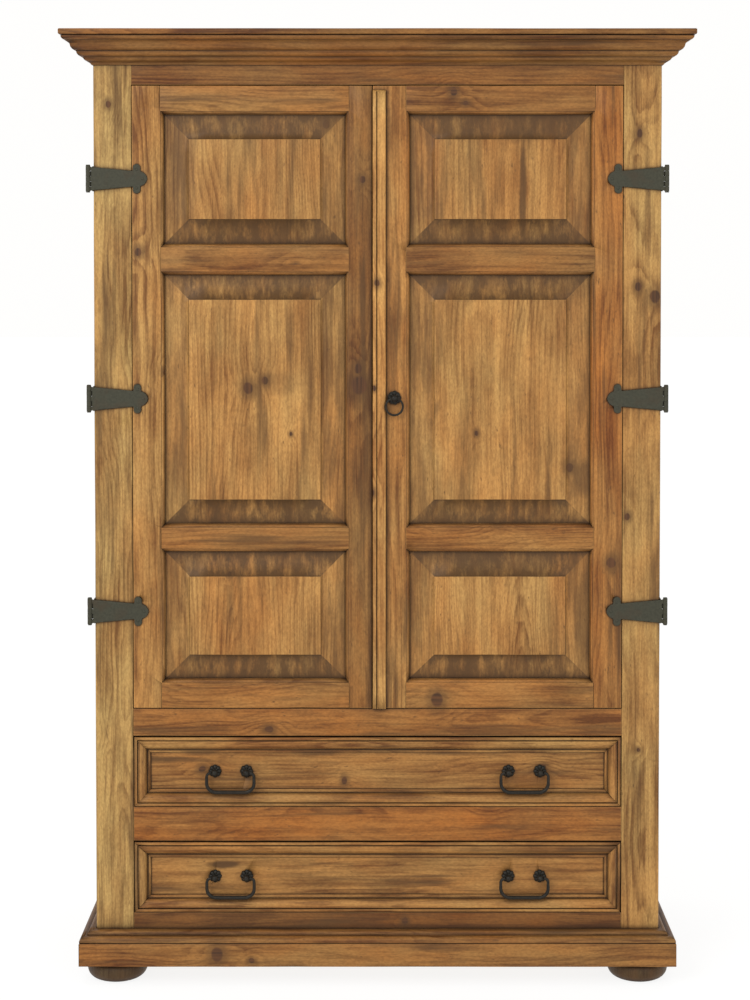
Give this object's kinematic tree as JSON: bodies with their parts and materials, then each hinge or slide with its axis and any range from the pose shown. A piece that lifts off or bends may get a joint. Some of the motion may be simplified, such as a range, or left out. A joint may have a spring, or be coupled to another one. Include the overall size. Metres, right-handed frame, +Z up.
{
  "type": "armoire",
  "caption": "Free-standing pine armoire on bun feet, with raised-panel doors on long iron strap hinges, moulded drawers with bail pulls, a stepped crown and a moulded base.",
  "frame": {"origin": "on the floor, under the middle of the overall box", "axes": "+Z up, the front with its doors and drawers faces -Y, +X is to the right of someone facing the front"},
  "size_m": [1.344, 0.6144, 2.047],
  "materials": {
    "honey_pine": "oil-stained and waxed pine, satin",
    "panel_pine": "oil-stained and waxed pine, darker in the end grain",
    "moulding_pine": "stained pine moulding with dark wax in the quirks",
    "raw_pine": "plain planed pine, unfinished",
    "foot_wood": "dark stained turned wood",
    "wrought_iron": "blackened forged iron, waxed",
    "catch_steel": "plain steel"
  },
  "bodies": {
    "carcass": {"left_front_stile": "honey_pine", "right_front_stile": "honey_pine", "bottom_rail": "honey_pine", "drawer_divider_rail": "honey_pine", "door_sill_rail": "honey_pine", "top_rail": "honey_pine", "side_stiles": "honey_pine", "side_rails": "honey_pine", "side_panels": "panel_pine", "back_boards": "raw_pine", "cupboard_floor": "raw_pine", "carcass_bottom": "raw_pine", "shelf": "raw_pine", "shelf_cleats": "raw_pine", "top_board": "moulding_pine", "crown_front": "moulding_pine", "crown_sides": "moulding_pine", "base_front_moulding": "moulding_pine", "base_side_mouldings": "moulding_pine", "base_front_board": "honey_pine", "base_side_boards": "honey_pine", "base_back_board": "raw_pine", "bun_feet": "foot_wood", "drawer_runners": "raw_pine", "hanging_rod": "raw_pine", "rod_sockets": "raw_pine", "hinge_side_leaves": "wrought_iron", "hinge_pins": "wrought_iron", "hinge_leaf_nails": "wrought_iron", "door_catches": "catch_steel"},
    "left_door": {"left_door_stiles": "honey_pine", "left_door_rails": "honey_pine", "left_door_panels": "panel_pine", "left_hinge_straps": "wrought_iron", "left_strap_nails": "wrought_iron", "left_catch_strike": "catch_steel"},
    "right_door": {"right_door_stiles": "honey_pine", "right_door_rails": "honey_pine", "right_door_panels": "panel_pine", "right_hinge_straps": "wrought_iron", "right_strap_nails": "wrought_iron", "right_catch_strike": "catch_steel", "astragal": "moulding_pine", "ring_post": "wrought_iron"},
    "lower_drawer": {"lower_drawer_front": "honey_pine", "lower_drawer_moulding": "moulding_pine", "lower_drawer_box": "raw_pine", "lower_drawer_bottom": "raw_pine", "lower_pull_posts": "wrought_iron"},
    "upper_drawer": {"upper_drawer_front": "honey_pine", "upper_drawer_moulding": "moulding_pine", "upper_drawer_box": "raw_pine", "upper_drawer_bottom": "raw_pine", "upper_pull_posts": "wrought_iron"},
    "lower_left_bail": {"lower_left_bail": "wrought_iron"},
    "lower_right_bail": {"lower_right_bail": "wrought_iron"},
    "upper_left_bail": {"upper_left_bail": "wrought_iron"},
    "upper_right_bail": {"upper_right_bail": "wrought_iron"},
    "pull_ring": {"pull_ring": "wrought_iron"}
  },
  "joints": [
    {"name": "left_door_hinge", "type": "hinge", "parent": "carcass", "child": "left_door", "pos_m": [-0.6185, -0.24575, 1.262], "axis": [0, 0, -1], "range_deg": [0, 180]},
    {"name": "right_door_hinge", "type": "hinge", "parent": "carcass", "child": "right_door", "pos_m": [0.6185, -0.24575, 1.262], "axis": [0, 0, 1], "range_deg": [0, 180]},
    {"name": "lower_drawer_slide", "type": "slide", "parent": "carcass", "child": "lower_drawer", "axis": [0, -1, 0], "range_m": [0, 0.38]},
    {"name": "upper_drawer_slide", "type": "slide", "parent": "carcass", "child": "upper_drawer", "axis": [0, -1, 0], "range_m": [0, 0.38]},
    {"name": "lower_left_bail_swing", "type": "hinge", "parent": "lower_drawer", "child": "lower_left_bail", "pos_m": [-0.317, -0.24925, 0.22575], "axis": [-1, 0, 0], "range_deg": [-10, 180]},
    {"name": "lower_right_bail_swing", "type": "hinge", "parent": "lower_drawer", "child": "lower_right_bail", "pos_m": [0.317, -0.24925, 0.22575], "axis": [-1, 0, 0], "range_deg": [-10, 180]},
    {"name": "upper_left_bail_swing", "type": "hinge", "parent": "upper_drawer", "child": "upper_left_bail", "pos_m": [-0.317, -0.24925, 0.45475], "axis": [-1, 0, 0], "range_deg": [-10, 180]},
    {"name": "upper_right_bail_swing", "type": "hinge", "parent": "upper_drawer", "child": "upper_right_bail", "pos_m": [0.317, -0.24925, 0.45475], "axis": [-1, 0, 0], "range_deg": [-10, 180]},
    {"name": "pull_ring_swing", "type": "hinge", "parent": "right_door", "child": "pull_ring", "pos_m": [0.036, -0.25675, 1.264], "axis": [-1, 0, 0], "range_deg": [0, 180]}
  ]
}
